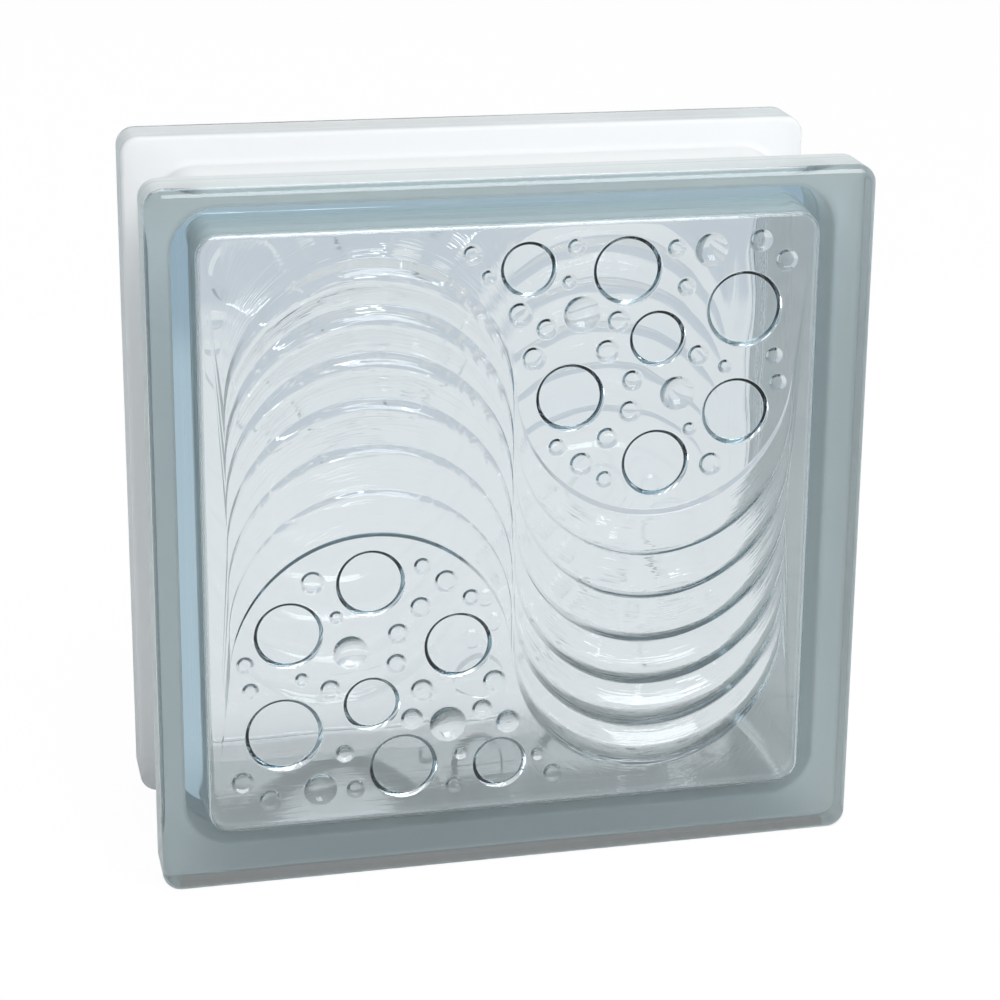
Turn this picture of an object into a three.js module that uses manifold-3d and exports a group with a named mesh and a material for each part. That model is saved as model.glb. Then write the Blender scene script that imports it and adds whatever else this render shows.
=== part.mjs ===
// Hollow glass block: two pressed glass trays, fused edge to edge at mid depth.
// Millimetres, +Z up. The block stands on its bottom rims with its front face towards -Y.
// The origin is at the middle of the footprint, on the floor.

import * as THREE from 'three';
import { mergeVertices } from 'three/addons/utils/BufferGeometryUtils.js';
import Module from 'manifold-3d';

const wasm = await Module();
wasm.setup();

// ---- Block ----
const BLOCK_WIDTH = 190;
const BLOCK_HEIGHT = 190;
const BLOCK_DEPTH = 80;
const RIM_CORNER_RADIUS = 5; // corner of the rim, seen from the front
const FACE_EDGE_RADIUS = 2.5; // rounding between a face and its rim

// ---- Rim and mortar groove ----
const RIM_WIDTH = 17; // from the face to the groove
const RIM_BACK_RADIUS = 1.5; // rounding between the rim and the groove
const GROOVE_DEPTH = 7.5; // from the rim down to the neck
const GROOVE_SIDE_LEAN = 1.3; // how far the groove's side leans over its depth
const NECK_CORNER_RADIUS = 12;
const NECK_FILLET_RADIUS = 2;
const SEAM_BEAD_HEIGHT = 0.6; // ridge where the two trays melt together
const SEAM_BEAD_WIDTH = 4; // over both trays

// ---- Hollow ----
const FACE_THICKNESS = 10;
const WALL_THICKNESS = 4.5; // at the fused seam
const WALL_DRAFT = 1; // how much the hollow widens from the face plate to the seam
const HOLLOW_CORNER_RADIUS = 6;
const HOLLOW_FILLET_RADIUS = 1.5; // between the face plate and the walls

// ---- Ripples: two columns of equal circles that touch on the block's middle line ----
const RIPPLE_RADIUS = 38;
const RIPPLE_PITCH = 12.4; // each circle's step past the last one
const RIPPLE_COUNT = 6;
const BUBBLE_CIRCLE_RISE = 39; // height of the first circle's centre above the middle
const FIRST_RIPPLE_DEPTH = 0.48; // how far the plate drops at the circle of bubbles
const LAST_RIPPLE_DEPTH = 3;
const RIPPLE_STEP_LEAN = 1.8; // run of the step back up for each millimetre of depth

// ---- Bubbles ----
const DISC_HEIGHT = 0.55; // the large, flat-topped bubbles
const DISC_SIDE_LEAN = 1;
const LENS_RISE = 0.22; // height of a medium bubble over its radius
const BEAD_RISE = 0.35; // height of a small bubble over its radius

// Bubbles in and round the upper circle, from the block's middle: across, up, radius.
const DISCS = [
  [3.3, 68.9, 7.4], [29.7, 67.5, 9.2], [61.7, 55.6, 10.3], [38.2, 48.7, 7.6],
  [14.8, 33.7, 9.2], [60.1, 27.4, 9.2], [38.3, 14.3, 9.2],
];
const LENSES = [[17.6, 56.3, 5], [52.2, 72.2, 4.5], [43.8, 33.4, 4.7]];
const BEADS = [
  [-11.5, 73.4, 2.6], [-7.3, 67.4, 1.9], [15.8, 74.3, 2.4], [14, 65.1, 1.9], [1.1, 57, 3.2],
  [8.2, 52.8, 2.8], [27.4, 53.9, 3], [4.9, 44.9, 3.2], [24.6, 45.9, 3.2], [42.7, 72.9, 2.5],
  [45.6, 62.4, 2.4], [65.7, 74.1, 3], [72.9, 68.4, 3], [49.3, 43.6, 2.8], [56.8, 40.1, 1.9],
  [70.4, 42.3, 2.3], [71.7, 34.8, 2.4], [31.5, 37.6, 2.8], [31, 29.1, 2.9], [47.5, 23.2, 1.9],
  [25, 22, 2.9], [11.4, 20.3, 2.4], [18.1, 15.2, 3.2], [24.5, 10.5, 2.4], [53.7, 13, 3.2],
];

// ---- Facets ----
const CORNER_STEPS = 6;
const FACE_EDGE_STEPS = 4;
const RIM_BACK_STEPS = 2;
const FILLET_STEPS = 3;
const SEAM_BEAD_STEPS = 2;
const DOME_STEPS = 2;
const RIPPLE_SIDES = 40;
const DISC_SIDES = 18;
const LENS_SIDES = 12;
const BEAD_SIDES = 8;

// ---- How far solids run into each other, so that joins and cuts are clean ----
const RELIEF_ROOT = 1;
const CUT_OVERRUN = 1;

// ---- Where things lie, front to back ----
const FACE_Y = -BLOCK_DEPTH / 2;
const RIM_END_Y = FACE_Y + RIM_WIDTH;
const NECK_START_Y = RIM_END_Y + GROOVE_SIDE_LEAN;
const PLATE_INSIDE_Y = FACE_Y + FACE_THICKNESS;
const SEAM_Y = 0;
const HOLLOW_INSET = GROOVE_DEPTH + WALL_THICKNESS; // from the rim to the hollow, at the seam

// Half a turn about an axis through the block's middle flips two of the three coordinates.
const HALF_TURN_ABOUT_Y = [-1, 1, -1];
const HALF_TURN_ABOUT_Z = [-1, -1, 1];

// The block's outline drawn in by `inset`, with its corners rounded, at depth `y`.
function section(y, inset, radius) {
  return { y, halfWidth: BLOCK_WIDTH / 2 - inset, halfHeight: BLOCK_HEIGHT / 2 - inset, radius };
}

function sectionPoints({ y, halfWidth, halfHeight, radius }) {
  const points = [];
  const corners = [[1, 1], [-1, 1], [-1, -1], [1, -1]];
  corners.forEach(([sideX, sideZ], quarter) => {
    for (let step = 0; step <= CORNER_STEPS; step++) {
      const angle = (quarter + step / CORNER_STEPS) * Math.PI / 2;
      const x = sideX * (halfWidth - radius) + radius * Math.cos(angle);
      const z = sideZ * (halfHeight - radius) + radius * Math.sin(angle);
      points.push([x, y, z]);
    }
  });
  return points;
}

// A closed body through the sections, which run from front to back.
function loft(sections) {
  const rings = sections.map(sectionPoints);
  const count = rings[0].length;
  const indices = [];
  for (let ring = 0; ring + 1 < rings.length; ring++) {
    for (let i = 0; i < count; i++) {
      const near = ring * count + i;
      const nearNext = ring * count + (i + 1) % count;
      indices.push(near, near + count, nearNext + count);
      indices.push(near, nearNext + count, nearNext);
    }
  }
  const lastRing = (rings.length - 1) * count;
  for (let i = 1; i + 1 < count; i++) {
    indices.push(0, i, i + 1);
    indices.push(lastRing, lastRing + i + 1, lastRing + i);
  }
  const geometry = new THREE.BufferGeometry();
  geometry.setAttribute('position', new THREE.Float32BufferAttribute(rings.flat(2), 3));
  geometry.setIndex(indices);
  return geometry;
}

// Angles from 0 to a quarter turn.
function quarterSteps(steps) {
  return Array.from({ length: steps + 1 }, (_, step) => step / steps * Math.PI / 2);
}

// The outside of a tray: face edge, rim, groove side, neck and seam bead.
function traySections() {
  const faceEdge = quarterSteps(FACE_EDGE_STEPS).map((angle) => {
    const inset = FACE_EDGE_RADIUS * (1 - Math.sin(angle));
    const y = FACE_Y + FACE_EDGE_RADIUS * (1 - Math.cos(angle));
    return section(y, inset, RIM_CORNER_RADIUS - inset);
  });
  const rimBack = quarterSteps(RIM_BACK_STEPS).map((angle) => {
    const inset = RIM_BACK_RADIUS * (1 - Math.cos(angle));
    const y = RIM_END_Y - RIM_BACK_RADIUS * (1 - Math.sin(angle));
    return section(y, inset, RIM_CORNER_RADIUS);
  });
  const neckFoot = quarterSteps(FILLET_STEPS).map((angle) => {
    const inset = GROOVE_DEPTH - NECK_FILLET_RADIUS * (1 - Math.sin(angle));
    const y = NECK_START_Y + NECK_FILLET_RADIUS * (1 - Math.cos(angle));
    return section(y, inset, NECK_CORNER_RADIUS);
  });
  const seamBead = quarterSteps(SEAM_BEAD_STEPS).reverse().map((angle) => {
    const rise = SEAM_BEAD_HEIGHT * Math.cos(angle);
    const y = SEAM_Y - Math.sin(angle) * SEAM_BEAD_WIDTH / 2;
    return section(y, GROOVE_DEPTH - rise, NECK_CORNER_RADIUS);
  });
  return [...faceEdge, ...rimBack, ...neckFoot, ...seamBead];
}

// The hollow inside a tray, carried past the seam so that it cuts the tray open.
function hollowSections() {
  const plateFillet = quarterSteps(FILLET_STEPS).map((angle) => {
    const round = HOLLOW_FILLET_RADIUS * (1 - Math.sin(angle));
    const y = PLATE_INSIDE_Y + HOLLOW_FILLET_RADIUS * (1 - Math.cos(angle));
    return section(y, HOLLOW_INSET + WALL_DRAFT + round, HOLLOW_CORNER_RADIUS - round);
  });
  const atSeam = section(SEAM_Y, HOLLOW_INSET, HOLLOW_CORNER_RADIUS);
  return [...plateFillet, atSeam, { ...atSeam, y: SEAM_Y + CUT_OVERRUN }];
}

// A turned form standing on the inside of the face plate, given by radius and height.
function turned(profile, sides, x, z) {
  const points = profile.map(([radius, height]) => new THREE.Vector2(radius, height));
  const geometry = new THREE.LatheGeometry(points, sides);
  return geometry.translate(x, PLATE_INSIDE_Y, z);
}

// The solid inside a closed geometry, whose shared vertices are merged first.
function solid(geometry) {
  const bare = new THREE.BufferGeometry();
  bare.setAttribute('position', geometry.getAttribute('position'));
  bare.setIndex(geometry.getIndex());
  const merged = mergeVertices(bare);
  const index = merged.getIndex().array;
  const triangles = [];
  for (let i = 0; i < index.length; i += 3) {
    const [a, b, c] = index.slice(i, i + 3);
    if (a !== b && b !== c && c !== a) triangles.push(a, b, c);
  }
  return new wasm.Manifold(new wasm.Mesh({
    numProp: 3,
    vertProperties: merged.getAttribute('position').array,
    triVerts: new Uint32Array(triangles),
  }));
}

// The height of a circle's centre, counted down from the circle of bubbles.
function circleCentreZ(step) {
  return BUBBLE_CIRCLE_RISE - step * RIPPLE_PITCH;
}

// What one ripple takes out of the plate: a floor sloping down outwards from the last circle,
// as far as the leaning step up to its own circle.
function ripple(number) {
  const growth = ((number - 1) / Math.max(RIPPLE_COUNT - 1, 1)) ** 2;
  const depth = FIRST_RIPPLE_DEPTH + (LAST_RIPPLE_DEPTH - FIRST_RIPPLE_DEPTH) * growth;
  const startDepth = number === 1 ? FIRST_RIPPLE_DEPTH : 0;
  const slope = (depth - startDepth) / (RIPPLE_PITCH - RIPPLE_STEP_LEAN * depth);
  const outer = RIPPLE_RADIUS + RIPPLE_PITCH + CUT_OVERRUN;
  const outerDepth = startDepth + slope * (outer - RIPPLE_RADIUS);
  const floorProfile = [
    [RIPPLE_RADIUS, -startDepth], [outer, -outerDepth], [outer, CUT_OVERRUN],
    [RIPPLE_RADIUS, CUT_OVERRUN], [RIPPLE_RADIUS, -startDepth],
  ];
  const stepProfile = [
    [0, -depth], [RIPPLE_RADIUS - RIPPLE_STEP_LEAN * depth, -depth],
    [RIPPLE_RADIUS + RIPPLE_STEP_LEAN * CUT_OVERRUN, CUT_OVERRUN], [0, CUT_OVERRUN],
  ];
  const floor = turned(floorProfile, RIPPLE_SIDES, RIPPLE_RADIUS, circleCentreZ(number - 1));
  const step = turned(stepProfile, RIPPLE_SIDES, RIPPLE_RADIUS, circleCentreZ(number));
  return solid(floor).intersect(solid(step));
}

function disc([x, z, radius]) {
  const profile = [
    [0, -RELIEF_ROOT], [radius, -RELIEF_ROOT], [radius, 0], [radius - DISC_SIDE_LEAN, DISC_HEIGHT],
    [0, DISC_HEIGHT],
  ];
  return solid(turned(profile, DISC_SIDES, x, z));
}

// The cap of a sphere, as high as `rise` times its radius.
function dome([x, z, radius], rise, sides) {
  const edgeAngle = 2 * Math.atan(rise);
  const sphereRadius = radius / Math.sin(edgeAngle);
  const crown = Array.from({ length: DOME_STEPS + 1 }, (_, step) => {
    const angle = edgeAngle * (1 - step / DOME_STEPS);
    const height = sphereRadius * (Math.cos(angle) - Math.cos(edgeAngle));
    return [sphereRadius * Math.sin(angle), height];
  });
  return solid(turned([[0, -RELIEF_ROOT], [radius, -RELIEF_ROOT], ...crown], sides, x, z));
}

// The bubbles that stand on one half of the plate.
function halfBubbles() {
  const discs = DISCS.map(disc);
  const lenses = LENSES.map((lens) => dome(lens, LENS_RISE, LENS_SIDES));
  const beads = BEADS.map((bead) => dome(bead, BEAD_RISE, BEAD_SIDES));
  return [...discs, ...lenses, ...beads].reduce((all, form) => all.add(form));
}

// The ripples that are sunk into the same half, below the bubbles.
function halfRipples() {
  const ripples = Array.from({ length: RIPPLE_COUNT }, (_, i) => ripple(i + 1));
  return ripples.reduce((all, form) => all.add(form));
}

function geometryOf(manifold) {
  const mesh = manifold.getMesh();
  const geometry = new THREE.BufferGeometry();
  geometry.setAttribute('position', new THREE.BufferAttribute(mesh.vertProperties, 3));
  geometry.setIndex(new THREE.BufferAttribute(mesh.triVerts, 1));
  return geometry;
}

function halfTurned(manifold, signs) {
  return geometryOf(manifold).scale(...signs);
}

// Relief for the whole plate: one half's, and the same half a turn round, within the walls.
function overPlate(half) {
  const withinWalls = section(FACE_Y, HOLLOW_INSET + WALL_DRAFT, HOLLOW_CORNER_RADIUS);
  const reach = solid(loft([withinWalls, { ...withinWalls, y: SEAM_Y }]));
  return half.add(solid(halfTurned(half, HALF_TURN_ABOUT_Y))).intersect(reach);
}

// A tray: the pressed outside, less the hollow and the ripples, with bubbles on its plate.
function pressedTray() {
  const outside = solid(loft(traySections()));
  const hollow = solid(loft(hollowSections()));
  const bubbles = overPlate(halfBubbles());
  const ripples = overPlate(halfRipples());
  return outside.subtract(hollow).subtract(ripples).add(bubbles);
}

const glass = new THREE.MeshStandardMaterial({
  name: 'pressed_glass',
  color: 0xd9e6e8,
  roughness: 0.05,
  metalness: 0,
  transparent: true,
  opacity: 0.35,
  flatShading: true,
});

const tray = pressedTray();
const front = new THREE.Mesh(geometryOf(tray), glass);
front.name = 'front_half_shell';
const back = new THREE.Mesh(halfTurned(tray, HALF_TURN_ABOUT_Z), glass.clone());
back.name = 'back_half_shell';

const glassBlock = new THREE.Group();
glassBlock.name = 'glass_block';
glassBlock.add(front, back);
glassBlock.position.z = BLOCK_HEIGHT / 2;

export default glassBlock;
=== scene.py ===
"""A hollow glass block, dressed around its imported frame.

Two pressed glass trays are fused edge to edge. Ripples and bubbles are pressed into the inside of
each face plate. Lengths are in metres, +Z up, with the front face towards -Y.
"""

import math

import bmesh
import bpy
from mathutils import Matrix, Vector


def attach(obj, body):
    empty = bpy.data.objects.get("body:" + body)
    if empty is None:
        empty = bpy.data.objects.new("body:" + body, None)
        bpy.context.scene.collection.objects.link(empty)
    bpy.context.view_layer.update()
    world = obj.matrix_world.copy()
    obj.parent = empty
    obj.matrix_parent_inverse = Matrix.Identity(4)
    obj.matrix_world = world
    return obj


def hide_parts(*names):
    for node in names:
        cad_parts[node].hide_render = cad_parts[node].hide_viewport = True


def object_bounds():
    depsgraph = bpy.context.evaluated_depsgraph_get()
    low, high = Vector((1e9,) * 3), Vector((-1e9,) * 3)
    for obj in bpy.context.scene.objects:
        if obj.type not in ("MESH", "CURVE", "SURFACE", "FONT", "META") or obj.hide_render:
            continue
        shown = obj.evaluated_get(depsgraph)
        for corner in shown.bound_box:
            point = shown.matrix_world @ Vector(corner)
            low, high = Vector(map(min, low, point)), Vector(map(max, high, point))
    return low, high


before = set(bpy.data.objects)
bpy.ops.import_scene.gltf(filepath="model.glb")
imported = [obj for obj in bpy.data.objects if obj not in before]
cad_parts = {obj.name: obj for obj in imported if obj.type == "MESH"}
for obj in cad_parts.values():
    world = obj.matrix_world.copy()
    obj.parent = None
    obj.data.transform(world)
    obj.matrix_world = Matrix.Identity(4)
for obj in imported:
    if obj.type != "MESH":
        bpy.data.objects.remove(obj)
cad_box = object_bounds()

MM = 0.001

# ---- Block, from the frame ----
LOW, HIGH = cad_box
MIDDLE = (LOW + HIGH) / 2
HALF_WIDTH = (HIGH.x - LOW.x) / 2
HALF_DEPTH = (HIGH.y - LOW.y) / 2
HALF_HEIGHT = (HIGH.z - LOW.z) / 2

# ---- Outside of a tray ----
FACE_EDGE_RADIUS = 2.5 * MM
RIM_CORNER_RADIUS = 5 * MM
RIM_WIDTH = 17 * MM
RIM_BACK_RADIUS = 1.5 * MM
GROOVE_DEPTH = 7.5 * MM
GROOVE_SIDE_LEAN = 1.3 * MM
NECK_CORNER_RADIUS = 12 * MM
NECK_FILLET_RADIUS = 2 * MM
SEAM_BEAD_HEIGHT = 0.6 * MM
SEAM_BEAD_WIDTH = 4 * MM

# ---- Hollow ----
FACE_THICKNESS = 10 * MM
WALL_THICKNESS = 4.5 * MM
WALL_DRAFT = 1 * MM
HOLLOW_CORNER_RADIUS = 6 * MM
HOLLOW_FILLET_RADIUS = 1.5 * MM
HOLLOW_INSET = GROOVE_DEPTH + WALL_THICKNESS
MOST_OF_HALF = 0.48  # how much of a side a rounding may take up
SUPPORT = 0.4 * MM  # flat ring that keeps a rounding's shading off the flat beside it
RELIEF_RAISED = 0.6 * MM  # how far the whole relief sits above the plate's middle
SEAM_REACH = 0.01 * MM  # how near the seam a vertex of it lies
WELD_DISTANCE = 0.02 * MM

# ---- Ripples: each has a floor that falls away, then a step in two slopes up to its crest ----
RIPPLE_OFFSET = 38 * MM
RIPPLE_RADIUS = 37.7 * MM
RIPPLE_PITCH = 12.4 * MM
RIPPLE_COUNT = 6
BUBBLE_CIRCLE_RISE = 39 * MM
CIRCLE_STEP_DEPTH = 1.05 * MM
CIRCLE_STEP_WIDTH = 1.5 * MM
FIRST_RIPPLE_DEPTH = 1 * MM
LAST_RIPPLE_DEPTH = 2.6 * MM
RIPPLE_SHIFT = 0.9 * MM  # how far each crest lies beyond its pitch
RIPPLE_STEP_LEAN = 2.25  # a step's run for each depth
STEP_RUN_SHARE = 0.45  # part of the run that its steeper slope, under the crest, takes
STEP_RISE_SHARE = 0.62  # and part of the depth
VALLEY_ROUNDING = 2 * MM
FLOOR_ROUNDING = 1 * MM
FLOOR_POWER = 1.4  # above 1, a floor steepens towards its foot
FLOOR_SHARES = (0.3, 0.65)  # points between a floor's crest and its foot
CREST_ROUNDING = 0.3 * MM
LAST_CREST_FLAT = 2 * SUPPORT
RIPPLE_STEPS = 2

# ---- Bubbles: across, up and radius in millimetres, in and round the upper circle ----
DISCS = [
    (3.3, 68.9, 7.4), (29.7, 67.5, 9.2), (61.7, 55.6, 10.3), (38.2, 48.7, 7.6),
    (14.8, 33.7, 9.2), (60.1, 27.4, 9.2), (38.3, 14.3, 9.2),
]
LENSES = [(17.6, 56.3, 5), (52.2, 72.2, 4.5), (43.8, 33.4, 4.7)]
BEADS = [
    (-11.5, 73.4, 2.6), (-7.3, 67.4, 1.9), (15.8, 74.3, 2.4), (14, 65.1, 1.9), (1.1, 57, 3.2),
    (8.2, 52.8, 2.8), (27.4, 53.9, 3), (4.9, 44.9, 3.2), (24.6, 45.9, 3.2), (42.7, 72.9, 2.5),
    (45.6, 62.4, 2.4), (65.7, 74.1, 3), (72.9, 68.4, 3), (49.3, 43.6, 2.8), (56.8, 40.1, 1.9),
    (70.4, 42.3, 2.3), (71.7, 34.8, 2.4), (31.5, 37.6, 2.8), (31, 29.1, 2.9), (47.5, 23.2, 1.9),
    (25, 22, 2.9), (11.4, 20.3, 2.4), (18.1, 15.2, 3.2), (24.5, 10.5, 2.4), (53.7, 13, 3.2),
]
DISC_EDGE = [(0, 0), (1, 1.9), (1.1, 1.9)]  # run and rise in millimetres
BEAD_EDGE = [(0, 0), (0.9, 0.77)]
BUBBLE_ROUNDING = 0.1 * MM
BUBBLE_STEPS = 2
BEAD_CROWN = 0.08  # height of the crown for each shoulder radius
BEAD_CROWN_POINTS = [(0.5, 0.75), (0.125, 1)]  # shares of the shoulder radius and of the crown
BEAD_STEPS = 1
LENS_RISE = 0.31  # height for each radius
LENS_TOP_SHARE = 0.25
LENS_STEPS = 7

# ---- Fineness of the mesh ----
CORNER_SEGMENTS = 12
FILLET_STEPS = 6
RIPPLE_COLUMNS = 76
DISC_SIDES = 50
LENS_SIDES = 36
BEAD_SIDES = 24

FACE_Y = MIDDLE.y - HALF_DEPTH
PLATE_Y = FACE_Y + FACE_THICKNESS
SEAM_Y = MIDDLE.y


# ---------------------------------------------------------------- glass body

def ring(bm, inset, radius, y):
    """Edges of the block's outline drawn in by inset, with rounded corners, at depth y."""
    square = bmesh.ops.create_grid(bm, x_segments=1, y_segments=1, size=1)["verts"]
    size = (HALF_WIDTH - inset, HALF_HEIGHT - inset, 1)
    bmesh.ops.scale(bm, vec=size, verts=square)
    bmesh.ops.rotate(bm, matrix=Matrix.Rotation(math.pi / 2, 3, "X"), verts=square)
    bmesh.ops.translate(bm, vec=(MIDDLE.x, y, MIDDLE.z), verts=square)
    bevelled = bmesh.ops.bevel(
        bm, geom=square, offset=radius, segments=CORNER_SEGMENTS, profile=0.5,
        affect="VERTICES", material=-1,
    )
    face = bevelled["verts"][0].link_faces[0]
    edges = list(face.edges)
    bmesh.ops.delete(bm, geom=[face], context="FACES_ONLY")
    return edges


def loft(bm, sections):
    """Skins rings from one section to the next and returns their edges, first to last."""
    rings = [ring(bm, *section) for section in sections]
    for near, far in zip(rings, rings[1:]):
        bmesh.ops.bridge_loops(bm, edges=near + far)
    return rings


def quarter():
    """Cosine and sine from 0 to a quarter turn."""
    angles = [step / FILLET_STEPS * math.pi / 2 for step in range(FILLET_STEPS + 1)]
    return [(math.cos(angle), math.sin(angle)) for angle in angles]


def tray_sections():
    """Outside of a tray as inset, corner radius and depth: face edge, rim, groove, neck, seam."""
    sections = [(FACE_EDGE_RADIUS + SUPPORT, RIM_CORNER_RADIUS - FACE_EDGE_RADIUS, FACE_Y)]
    for cosine, sine in quarter():
        inset = FACE_EDGE_RADIUS * (1 - sine)
        sections.append((inset, RIM_CORNER_RADIUS - inset, FACE_Y + FACE_EDGE_RADIUS * (1 - cosine)))
    rim_end = FACE_Y + RIM_WIDTH
    sections.append((0, RIM_CORNER_RADIUS, FACE_Y + FACE_EDGE_RADIUS + SUPPORT))
    sections.append((0, RIM_CORNER_RADIUS, rim_end - RIM_BACK_RADIUS - SUPPORT))
    for cosine, sine in quarter():
        inset = RIM_BACK_RADIUS * (1 - cosine)
        sections.append((inset, RIM_CORNER_RADIUS, rim_end - RIM_BACK_RADIUS * (1 - sine)))
    neck = rim_end + GROOVE_SIDE_LEAN
    for cosine, sine in quarter():
        inset = GROOVE_DEPTH - NECK_FILLET_RADIUS * (1 - sine)
        sections.append((inset, NECK_CORNER_RADIUS, neck + NECK_FILLET_RADIUS * (1 - cosine)))
    bead = SEAM_Y - SEAM_BEAD_WIDTH / 2
    sections.append((GROOVE_DEPTH, NECK_CORNER_RADIUS, bead - SUPPORT))
    for cosine, sine in reversed(quarter()):
        inset = GROOVE_DEPTH - SEAM_BEAD_HEIGHT * cosine
        sections.append((inset, NECK_CORNER_RADIUS, SEAM_Y - sine * SEAM_BEAD_WIDTH / 2))
    return sections


def hollow_sections():
    """Inside of a tray: from the face plate, round its fillet and along the wall to the seam."""
    wall = HOLLOW_INSET + WALL_DRAFT
    sections = []
    for cosine, sine in quarter():
        rounding = HOLLOW_FILLET_RADIUS * (1 - sine)
        y = PLATE_Y + HOLLOW_FILLET_RADIUS * (1 - cosine)
        sections.append((wall + rounding, HOLLOW_CORNER_RADIUS - rounding, y))
    inset, radius, _ = sections[0]
    sections.insert(0, (inset + SUPPORT, radius - SUPPORT, PLATE_Y))
    sections.append((HOLLOW_INSET, HOLLOW_CORNER_RADIUS, SEAM_Y))
    return sections


def rounded(corners, reaches, steps):
    """A profile through corners, each turned by a curve that starts within its reach of it."""
    corners = [Vector(corner) for corner in corners]
    points = [corners[0]]
    for before, corner, after, reach in zip(corners, corners[1:], corners[2:], reaches):
        near = before - corner
        far = after - corner
        start = corner + near * min(reach / near.length, MOST_OF_HALF)
        end = corner + far * min(reach / far.length, MOST_OF_HALF)
        for step in range(steps + 1):
            share = step / steps
            points.append(start.lerp(corner, share).lerp(corner.lerp(end, share), share))
    return points + [corners[-1]]


def bubble_side(radius, edge):
    """A bubble's leaning side, from the flat round its foot to its shoulder."""
    foot = [(radius + SUPPORT, 0)]
    return foot + [(radius - run * MM, rise * MM) for run, rise in edge]


def disc_profile(radius):
    """A large bubble with a flat top, as (radius, height) from its foot."""
    corners = bubble_side(radius, DISC_EDGE)
    top, height = corners[-1]
    corners.append((top - SUPPORT, height))
    return rounded(corners, [BUBBLE_ROUNDING] * len(corners), BUBBLE_STEPS)


def bead_profile(radius):
    """A small bubble with a slightly crowned top."""
    corners = bubble_side(radius, BEAD_EDGE)
    shoulder, height = corners[-1]
    crown = shoulder * BEAD_CROWN
    corners += [(shoulder * across, height + crown * up) for across, up in BEAD_CROWN_POINTS]
    return rounded(corners, [BUBBLE_ROUNDING] * len(corners), BEAD_STEPS)


def lens_profile(radius):
    """A medium bubble that is the cap of a sphere."""
    edge_angle = 2 * math.atan(LENS_RISE)
    sphere = radius / math.sin(edge_angle)
    angles = [edge_angle * (1 - step / LENS_STEPS) for step in range(LENS_STEPS)]
    cap = [
        (sphere * math.sin(angle), sphere * (math.cos(angle) - math.cos(edge_angle)))
        for angle in angles
    ]
    foot = rounded([(radius + SUPPORT, 0), cap[0], cap[1]], [BUBBLE_ROUNDING], BUBBLE_STEPS)
    return foot + cap[2:] + [(cap[-1][0] * LENS_TOP_SHARE, radius * LENS_RISE)]


def ripple_profile():
    """Down the middle of the ripples as (drop below the bubble circle, depth)."""
    corners = [(-SUPPORT, 0), (0, 0), (CIRCLE_STEP_WIDTH, CIRCLE_STEP_DEPTH)]
    reaches = [CREST_ROUNDING, CREST_ROUNDING]
    for number in range(RIPPLE_COUNT):
        growth = number / (RIPPLE_COUNT - 1)
        depth = FIRST_RIPPLE_DEPTH + (LAST_RIPPLE_DEPTH - FIRST_RIPPLE_DEPTH) * growth
        end = (number + 1) * RIPPLE_PITCH + RIPPLE_SHIFT
        start, shallow = corners[-1]
        step = RIPPLE_STEP_LEAN * depth
        foot = end - step
        for share in FLOOR_SHARES:
            fall = (depth - shallow) * share ** FLOOR_POWER
            corners.append((start + (foot - start) * share, shallow + fall))
        corners.append((foot, depth))
        corners.append((end - step * STEP_RUN_SHARE, depth * STEP_RISE_SHARE))
        corners.append((end, 0))
        reaches += [FLOOR_ROUNDING] * len(FLOOR_SHARES)
        reaches += [VALLEY_ROUNDING, FLOOR_ROUNDING, CREST_ROUNDING]
    corners.append((end + LAST_CREST_FLAT, 0))
    return rounded(corners, reaches, RIPPLE_STEPS)


def grow(bm, edges, moves):
    """Extrudes a chain of edges once for each move, a function that places the new vertices."""
    for move in moves:
        made = bmesh.ops.extrude_edge_only(bm, edges=edges)["geom"]
        verts = [part for part in made if isinstance(part, bmesh.types.BMVert)]
        edges = [part for part in made if isinstance(part, bmesh.types.BMEdge)]
        edges = [edge for edge in edges if all(vert in verts for vert in edge.verts)]
        move(verts)
    return edges


def bubble(bm, x, z, sides, profile):
    """A bubble on the plate's inside, grown from its foot up through (radius, height)."""
    centre = Vector((MIDDLE.x + x, PLATE_Y, MIDDLE.z + z))
    start = profile[0][0]
    foot = bmesh.ops.create_circle(bm, cap_ends=False, radius=start, segments=sides)["verts"]
    bmesh.ops.rotate(bm, matrix=Matrix.Rotation(math.pi / 2, 3, "X"), verts=foot)
    bmesh.ops.translate(bm, vec=centre, verts=foot)
    edges = list(dict.fromkeys(edge for vert in foot for edge in vert.link_edges))

    def step(before, after):
        def move(verts):
            share = after[0] / before[0]
            about = Matrix.Translation(-centre)
            bmesh.ops.scale(bm, vec=(share, 1, share), space=about, verts=verts)
            bmesh.ops.translate(bm, vec=(0, after[1] - before[1], 0), verts=verts)
        return move

    top = grow(bm, edges, [step(*pair) for pair in zip(profile, profile[1:])])
    bmesh.ops.contextual_create(bm, geom=top)


def ripples(bm):
    """The ripples under the bubble circle: its lower half swept down, over crests and valleys."""
    centre = Vector((MIDDLE.x + RIPPLE_OFFSET, PLATE_Y, MIDDLE.z + BUBBLE_CIRCLE_RISE + SUPPORT))
    first = bmesh.ops.create_vert(bm, co=centre + Vector((RIPPLE_RADIUS, 0, 0)))["vert"]
    bmesh.ops.spin(
        bm, geom=first, cent=centre, axis=(0, 1, 0), angle=math.pi, steps=RIPPLE_COLUMNS,
        use_merge=False,
    )
    edges = [edge for edge in bm.edges if edge.is_wire]

    def step(before, after):
        def move(verts):
            for vert in verts:
                across = (vert.co.x - centre.x) / RIPPLE_RADIUS
                taper = math.sqrt(max(0, 1 - across * across))
                vert.co.y = PLATE_Y - after[1] * taper
                vert.co.z -= after[0] - before[0]
        return move

    profile = ripple_profile()
    grow(bm, edges, [step(*pair) for pair in zip(profile, profile[1:])])


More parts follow.
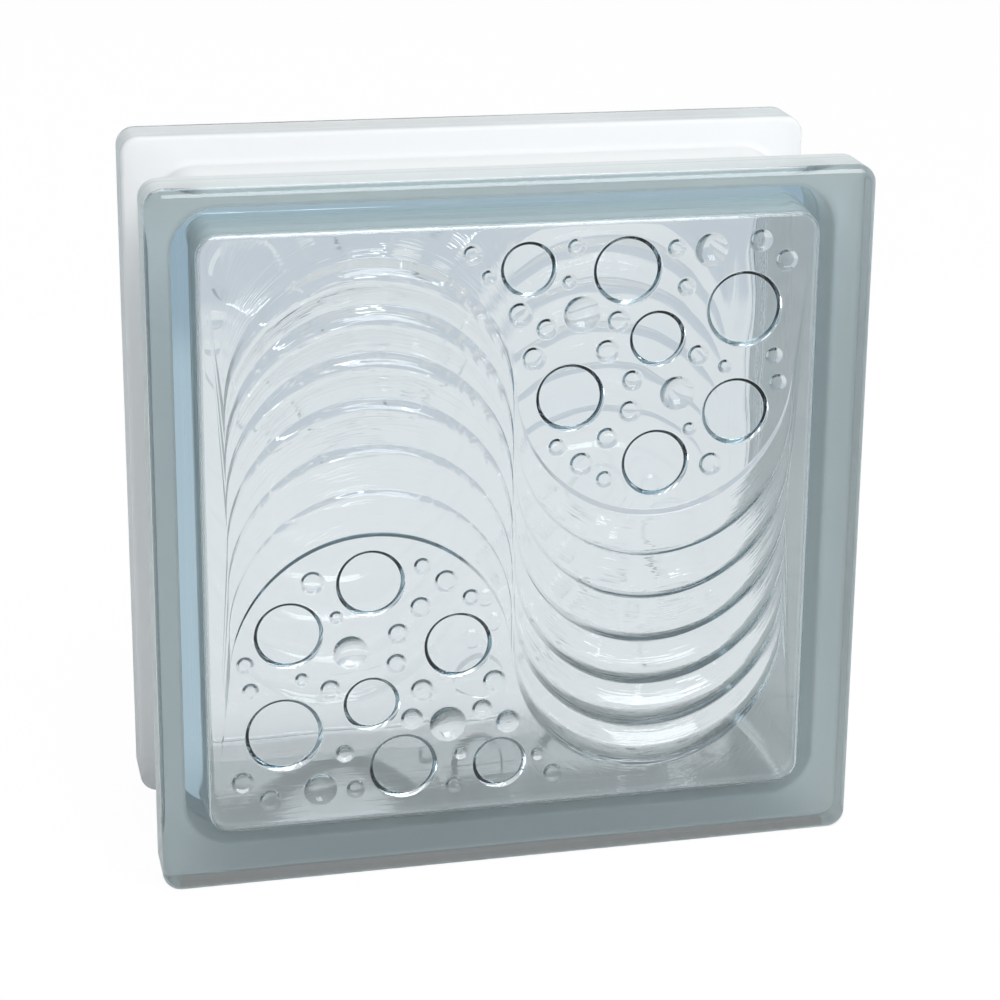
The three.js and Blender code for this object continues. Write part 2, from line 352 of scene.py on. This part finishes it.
def relief(bm):
    """Ripples and bubbles of one half of the plate."""
    ripples(bm)
    for x, z, radius in DISCS:
        bubble(bm, x * MM, z * MM, DISC_SIDES, disc_profile(radius * MM))
    for x, z, radius in LENSES:
        bubble(bm, x * MM, z * MM, LENS_SIDES, lens_profile(radius * MM))
    for x, z, radius in BEADS:
        bubble(bm, x * MM, z * MM, BEAD_SIDES, bead_profile(radius * MM))


def add_half_turn(bm, axis):
    """Copies everything half a turn about an axis through the block's middle."""
    everything = bm.verts[:] + bm.edges[:] + bm.faces[:]
    copy = bmesh.ops.duplicate(bm, geom=everything)["geom"]
    verts = [part for part in copy if isinstance(part, bmesh.types.BMVert)]
    turn = Matrix.Rotation(math.pi, 3, axis)
    bmesh.ops.rotate(bm, cent=MIDDLE, matrix=turn, verts=verts)


def close_at_seam(bm):
    """Adds the back tray, the front one turned round, and welds the two at the seam."""
    add_half_turn(bm, "Z")
    at_seam = [vert for vert in bm.verts if abs(vert.co.y - SEAM_Y) < SEAM_REACH]
    bmesh.ops.remove_doubles(bm, verts=at_seam, dist=WELD_DISTANCE)
    bmesh.ops.recalc_face_normals(bm, faces=bm.faces[:])


def outside():
    """The fused trays' outer surface."""
    bm = bmesh.new()
    rings = loft(bm, tray_sections())
    bmesh.ops.contextual_create(bm, geom=rings[0])
    close_at_seam(bm)
    return bm


def hollow():
    """The surface of the sealed hollow, which faces into it."""
    bm = bmesh.new()
    relief(bm)
    add_half_turn(bm, "Y")
    bmesh.ops.translate(bm, vec=(0, 0, RELIEF_RAISED), verts=bm.verts[:])
    feet = [edge for edge in bm.edges if len(edge.link_faces) == 1]
    rings = loft(bm, hollow_sections())
    bmesh.ops.triangle_fill(bm, use_beauty=True, edges=feet + rings[0], normal=(0, 1, 0))
    close_at_seam(bm)
    bmesh.ops.reverse_faces(bm, faces=bm.faces[:])
    return bm


def glass_body():
    """One fused body of glass round its sealed hollow."""
    mesh = bpy.data.meshes.new("glass_block_body")
    inner = hollow()
    inner.to_mesh(mesh)
    inner.free()
    body = outside()
    body.from_mesh(mesh)
    for face in body.faces:
        face.smooth = True
    body.to_mesh(mesh)
    body.free()
    piece = bpy.data.objects.new("glass_block_body", mesh)
    bpy.context.scene.collection.objects.link(piece)
    return piece


# ---------------------------------------------------------------- shader maths

class Value:
    """A shader socket. Arithmetic on it adds Math nodes."""

    def __init__(self, graph, socket):
        self.graph = graph
        self.socket = socket

    def out(self, name):
        """Another output of the same node."""
        return Value(self.graph, self.socket.node.outputs[name])

    def math(self, operation, *values):
        """The result of a Math node."""
        return self.graph.node("Math", {"operation": operation}, dict(enumerate(values)))

    def __add__(self, other):
        return self.math("ADD", self, other)

    def __sub__(self, other):
        return self.math("SUBTRACT", self, other)

    def __rsub__(self, other):
        return self.math("SUBTRACT", other, self)

    def __mul__(self, other):
        return self.math("MULTIPLY", self, other)

    def __truediv__(self, other):
        return self.math("DIVIDE", self, other)

    def __rtruediv__(self, other):
        return self.math("DIVIDE", other, self)

    def __neg__(self):
        return self.math("MULTIPLY", self, -1)

    def __abs__(self):
        return self.math("ABSOLUTE", self)

    __radd__ = __add__
    __rmul__ = __mul__

    def root(self):
        """The square root."""
        return self.math("SQRT", self)

    def hypot(self, other):
        """The long side of a right triangle with these two as its short ones."""
        return (self * self + other * other).root()

    def sign(self):
        """-1, 0 or 1."""
        return self.math("SIGN", self)

    def at_least(self, least):
        """This, or least where this is lower."""
        return self.math("MAXIMUM", self, least)

    def at_most(self, most):
        """This, or most where this is higher."""
        return self.math("MINIMUM", self, most)

    def rises(self, start, end, low=0, high=1):
        """From low where this is at start to high where it is at end, smoothly."""
        return self.graph.node(
            "MapRange", {"interpolation_type": "SMOOTHSTEP"},
            {"Value": self, "From Min": start, "From Max": end, "To Min": low, "To Max": high},
        )


class Graph:
    """The nodes of a material or of the world."""

    def __init__(self, owner):
        owner.use_nodes = True
        self.tree = owner.node_tree
        self.tree.nodes.clear()

    def node(self, kind, settings=None, inputs=None, output=0):
        """Adds a node. Settings come first, then each input's value or link."""
        node = self.tree.nodes.new("ShaderNode" + kind)
        for name, setting in (settings or {}).items():
            setattr(node, name, setting)
        for name, value in (inputs or {}).items():
            if isinstance(value, Value):
                self.tree.links.new(value.socket, node.inputs[name])
            else:
                node.inputs[name].default_value = value
        return Value(self, node.outputs[output]) if len(node.outputs) else None

    def split(self, vector):
        """The x, y and z of a vector."""
        x = self.node("SeparateXYZ", {}, {0: vector})
        return x, x.out("Y"), x.out("Z")

    def place(self):
        """A point's place from the block's middle."""
        point = self.node("TexCoord", output="Object")
        return self.node("VectorMath", {"operation": "SUBTRACT"}, {0: point, 1: MIDDLE})

    def noise(self, vector, scale=1, detail=1):
        """A soft pattern from 0 to 1, with about scale waves to a unit of the vector."""
        inputs = {"Vector": vector, "Scale": scale, "Detail": detail}
        return self.node("TexNoise", {}, inputs, "Fac")

    def mix(self, share, first, second):
        """A colour, first at a share of 0 and second at 1. A Mix node's colours are inputs 6 and 7."""
        return self.node("Mix", {"data_type": "RGBA"}, {0: share, 6: first, 7: second}, 2)

    def mix_shaders(self, share, first, second):
        """A shader, first at a share of 0 and second at 1."""
        return self.node("MixShader", {}, {0: share, 1: first, 2: second})


# ---------------------------------------------------------------- materials

WHITE = (1, 1, 1, 1)
SOFT_EDGE = 1 * MM  # over which one finish passes into the next
PLATE_DEPTH = HALF_DEPTH - FACE_THICKNESS  # from mid depth to the plates' inner sides

# ---- Glass: its relief lies between two depths, from mid depth ----
GLASS_IOR = 1.52
GLASS_COLOUR = (0.17, 0.48, 0.62, 1)
GLASS_DENSITY = 12
RELIEF_START = PLATE_DEPTH - 2.5 * MM
RELIEF_END = PLATE_DEPTH + 2 * MM
RELIEF_FADE = 3 * MM
PLATE_WAVE_SCALE = 90
PLATE_WAVE_HEIGHT = 0.3 * MM
STREAK_SPACING = 0.9 * MM
STREAK_LENGTH = 14 * MM
STREAK_DEPTH = 0.09 * MM
STREAK_EDGE = 3 * MM
STREAK_SIDE_FADE = 0.5
WALL_LINE_SPACING = 1.5 * MM
WALL_LINE_LENGTH = 60 * MM
WALL_LINE_DEPTH = 0.05 * MM

# ---- Whitish bonding coat in the groove, thinner on the rims, from mid depth outwards ----
COAT_ROUGHNESS = 0.5
COAT_TINT = (0.85, 0.9, 0.9, 1)
# The coat has a lit copy seen from outside and a darker copy seen from inside the glass; the darker
# one is painted shade for the groove that the block shades.
COAT_OUTSIDE = (0.95, 0.95, 0.95, 1)
COAT_INSIDE_PAINTED_SHADE = (0.68, 0.74, 0.73, 1)
COAT_LET_THROUGH = 0.45
COAT_COVER = 0.92
COAT_RIM_COVER = 0.4
COAT_RIM_START = HALF_DEPTH - RIM_WIDTH + 0.5 * MM
COAT_END = HALF_DEPTH - FACE_EDGE_RADIUS
COAT_FADE = 0.8 * MM
COAT_WANDER = 0.6 * MM
COAT_WANDER_SCALE = 90
COAT_GRAIN_SCALE = 900
COAT_GRAIN_HEIGHT = 0.08 * MM
NECK_CORE = HALF_WIDTH - GROOVE_DEPTH - NECK_CORNER_RADIUS  # the neck's corners turn about this
COAT_START = NECK_CORNER_RADIUS - 2.5 * MM  # outwards from there, between hollow and outside
COAT_FULL = COAT_START + SOFT_EDGE


def streaks(graph, x, y, z):
    """Height of the fine press streaks that run along the ripples."""
    side = -(x * y).sign()
    across = (abs(x) - RIPPLE_OFFSET) / RIPPLE_RADIUS
    arc = (1 - across * across).at_least(0).root()
    drop = BUBBLE_CIRCLE_RISE - side * (z - RELIEF_RAISED) - arc * RIPPLE_RADIUS
    where = {"X": x / STREAK_LENGTH, "Y": drop / STREAK_SPACING, "Z": side}
    pattern = graph.noise(graph.node("CombineXYZ", {}, where))
    among_ripples = arc.rises(0, STREAK_SIDE_FADE) * drop.rises(0, STREAK_EDGE)
    return pattern * among_ripples * STREAK_DEPTH


def wall_lines(graph, x, y, z):
    """Height of the faint lines that run round the walls and the neck."""
    where = {"X": x / WALL_LINE_LENGTH, "Y": y / WALL_LINE_SPACING, "Z": z / WALL_LINE_LENGTH}
    pattern = graph.noise(graph.node("CombineXYZ", {}, where))
    return pattern * abs(y).rises(RELIEF_START, RELIEF_START - SOFT_EDGE) * WALL_LINE_DEPTH


def coat(graph, colour):
    """A thin milky coat that lets some light through."""
    reflected = graph.node("BsdfDiffuse", {}, {"Color": colour})
    let_through = graph.node("BsdfTranslucent", {}, {"Color": colour})
    return graph.mix_shaders(COAT_LET_THROUGH, reflected, let_through)


def pressed_glass():
    """Blue-green tinted glass with press waves, and the bonding coat round its edge, painted darker as
    shade where it is seen from inside the glass.
    """
    material = bpy.data.materials.new("pressed_glass")
    graph = Graph(material)
    place = graph.place()
    x, y, z = graph.split(place)
    depth = abs(y)
    across = (abs(x) - NECK_CORE).at_least(0)
    up = (abs(z) - NECK_CORE).at_least(0)
    outward = across.hypot(up).rises(COAT_START, COAT_FULL)
    wander = graph.noise(place, COAT_WANDER_SCALE, detail=0) * COAT_WANDER
    coated = outward * (depth + wander).rises(COAT_END, COAT_END - COAT_FADE)

    grain = graph.noise(place, COAT_GRAIN_SCALE) * coated * COAT_GRAIN_HEIGHT
    plate_wave = graph.noise(place, PLATE_WAVE_SCALE, detail=0) * PLATE_WAVE_HEIGHT
    relief_height = plate_wave + streaks(graph, x, y, z)
    among_relief = depth.rises(RELIEF_START, RELIEF_START + SOFT_EDGE)
    height = grain + relief_height * among_relief + wall_lines(graph, x, y, z)
    bump = graph.node("Bump", {}, {"Strength": 1, "Distance": 1, "Height": height})

    glass = {
        "Base Color": graph.mix(coated, WHITE, COAT_TINT),
        "Roughness": coated * COAT_ROUGHNESS,
        "IOR": GLASS_IOR,
        "Transmission Weight": 1,
    }
    polished = graph.node("BsdfPrincipled", {}, glass)
    pressed = graph.node("BsdfPrincipled", {}, glass | {"Normal": bump})
    behind_face = depth.rises(RELIEF_END + RELIEF_FADE, RELIEF_END)
    clear = graph.mix_shaders(behind_face, polished, pressed)
    # Seen from inside the glass, the coat takes its darker copy: painted shade.
    painted_shade_from_inside = graph.node("NewGeometry", output="Backfacing")
    milky = graph.mix_shaders(painted_shade_from_inside, coat(graph, COAT_OUTSIDE), coat(graph, COAT_INSIDE_PAINTED_SHADE))
    cover = depth.rises(COAT_RIM_START, COAT_RIM_START + SOFT_EDGE, COAT_COVER, COAT_RIM_COVER)
    surface = graph.mix_shaders(coated * cover, clear, milky)
    tint = graph.node("VolumeAbsorption", {}, {"Color": GLASS_COLOUR, "Density": GLASS_DENSITY})
    graph.node("OutputMaterial", {}, {"Surface": surface, "Volume": tint})
    return material


body = glass_body()
body.data.materials.append(pressed_glass())
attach(body, "root")
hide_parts("front_half_shell", "back_half_shell")

# ---------------------------------------------------------------- stage

# ---- Floor: places in metres from the origin, and glows as the glass sees them ----
FLOOR_HALF_SIZE = 6
BOARD_COLOUR = (0.8, 0.8, 0.8, 1)
BOARD_GLOW = (0.88, 0.88, 0.88, 1)
ROOM_FLOOR_COLOUR = (0.57, 0.6, 0.63, 1)
ROOM_FLOOR_GLOW = (0.65, 0.68, 0.72, 1)
BOARD_SIDE = 0.6
BOARD_BACK = 0.46
BOARD_FRONT = -0.3
BOARD_FADE = 0.1
CAMERA_GLOW = 0.97
# Seen through the glass, the floor's glow dims within this reach of the block, down to this share: a
# painted contact shadow, not a traced one.
PAINTED_SHADOW_REACH = 50 * MM
PAINTED_SHADOW_GLOW = 0.28

# ---- Walls: the darker sides start where a direction is this much sideways ----
WALL_COLOUR = (0.76, 0.76, 0.76, 1)
SIDE_WALL_COLOUR = (0.38, 0.4, 0.42, 1)
SIDE_WALL_START = 0.45
SIDE_WALL_FULL = 0.7


def floor():
    """A level floor under the block."""
    mesh = bpy.data.meshes.new("floor")
    bm = bmesh.new()
    bmesh.ops.create_grid(bm, x_segments=1, y_segments=1, size=FLOOR_HALF_SIZE)
    bm.to_mesh(mesh)
    bm.free()
    piece = bpy.data.objects.new("floor", mesh)
    bpy.context.scene.collection.objects.link(piece)
    return piece


def pale_floor():
    """A white board in the middle of a greyer floor, all of it plain white to the camera, with a
    painted shadow round the block in the glow that the glass sees.
    """
    material = bpy.data.materials.new("pale_floor")
    graph = Graph(material)
    x, y, _ = graph.split(graph.node("TexCoord", output="Object"))
    board = abs(x).rises(BOARD_SIDE, BOARD_SIDE - BOARD_FADE)
    board = board * y.rises(BOARD_BACK + BOARD_FADE, BOARD_BACK)
    board = board * y.rises(BOARD_FRONT - BOARD_FADE, BOARD_FRONT)
    camera_ray = graph.node("LightPath", output="Is Camera Ray")
    glass_ray = camera_ray.out("Is Transmission Ray") + camera_ray.out("Is Glossy Ray")
    # Painted shadow: the glow that the glass sees fades towards the block's footprint.
    beside = (abs(x) - HALF_WIDTH).at_least(0).hypot((abs(y) - HALF_DEPTH).at_least(0))
    painted_shadow_share = beside.rises(0, PAINTED_SHADOW_REACH, PAINTED_SHADOW_GLOW, 1)
    glass_share = (1 - camera_ray) * glass_ray.at_most(1) * painted_shadow_share
    colour = graph.mix(board, ROOM_FLOOR_COLOUR, BOARD_COLOUR)
    lit = graph.node("BsdfPrincipled", {}, {
        "Base Color": colour,
        "Roughness": 1,
        "Specular IOR Level": 0,
    })
    glow_colour = graph.mix(board, ROOM_FLOOR_GLOW, BOARD_GLOW)
    glow_colour = graph.mix(camera_ray, glow_colour, WHITE)
    glow = graph.node("Emission", {}, {"Color": glow_colour})
    surface = graph.mix_shaders(camera_ray * CAMERA_GLOW + glass_share, lit, glow)
    graph.node("OutputMaterial", {}, {"Surface": surface})
    return material


def studio():
    """Pale walls with darker screens at both sides, plain white to the camera."""
    world = bpy.data.worlds.new("studio")
    graph = Graph(world)
    camera_ray = graph.node("LightPath", output="Is Camera Ray")
    sideways, _, _ = graph.split(graph.node("TexCoord", output="Generated"))
    side = abs(sideways).rises(SIDE_WALL_START, SIDE_WALL_FULL)
    colour = graph.mix(side, WALL_COLOUR, SIDE_WALL_COLOUR)
    colour = graph.mix(camera_ray, colour, WHITE)
    background = graph.node("Background", {}, {"Color": colour})
    graph.node("OutputWorld", {}, {"Surface": background})
    world.cycles.sampling_method = "NONE"
    return world


floor().data.materials.append(pale_floor())
bpy.context.scene.world = studio()

# ---------------------------------------------------------------- camera

SENSOR = 36
FOCAL_LENGTH = 100.84
CAMERA_SHIFT = (-0.1255, -0.0765)
CAMERA_PLACE = Vector((-154.045, -713.12, 254.655)) * MM
CAMERA_TURN = (72.0252, -1.302, -14.7276)  # degrees about X, Y and Z

camera_data = bpy.data.cameras.new("camera")
camera_data.sensor_width = SENSOR
camera_data.lens = FOCAL_LENGTH
camera_data.shift_x, camera_data.shift_y = CAMERA_SHIFT
camera = bpy.data.objects.new("camera", camera_data)
camera.location = MIDDLE + CAMERA_PLACE
camera.rotation_euler = [math.radians(angle) for angle in CAMERA_TURN]
bpy.context.scene.collection.objects.link(camera)
bpy.context.scene.camera = camera

# ---------------------------------------------------------------- light

TOP_SOFTBOX = {"place": Vector((0.3, -0.8, 1)), "size": 0.9, "power": 17}
BACK_SOFTBOX = {"place": Vector((0, 1.1, 1.1)), "size": 1.2, "power": 9}


def softbox(name, place, size, power):
    """A square lamp that faces the block."""
    light_data = bpy.data.lights.new(name, "AREA")
    light_data.shape = "SQUARE"
    light_data.size = size
    light_data.energy = power
    light = bpy.data.objects.new(name, light_data)
    light.location = place
    light.rotation_euler = (MIDDLE - place).to_track_quat("-Z", "Y").to_euler()
    bpy.context.scene.collection.objects.link(light)


softbox("top_softbox", **TOP_SOFTBOX)
softbox("back_softbox", **BACK_SOFTBOX)

# ---- Settings: few lights need no light tree, and the render is quicker without one ----
MOST_BOUNCES = 8
MOST_GLOSSY_BOUNCES = 4
MOST_DIFFUSE_BOUNCES = 1

scene = bpy.context.scene
scene.view_settings.view_transform = "Standard"
scene.cycles.max_bounces = MOST_BOUNCES
scene.cycles.transmission_bounces = MOST_BOUNCES
scene.cycles.glossy_bounces = MOST_GLOSSY_BOUNCES
scene.cycles.diffuse_bounces = MOST_DIFFUSE_BOUNCES
scene.cycles.use_light_tree = False
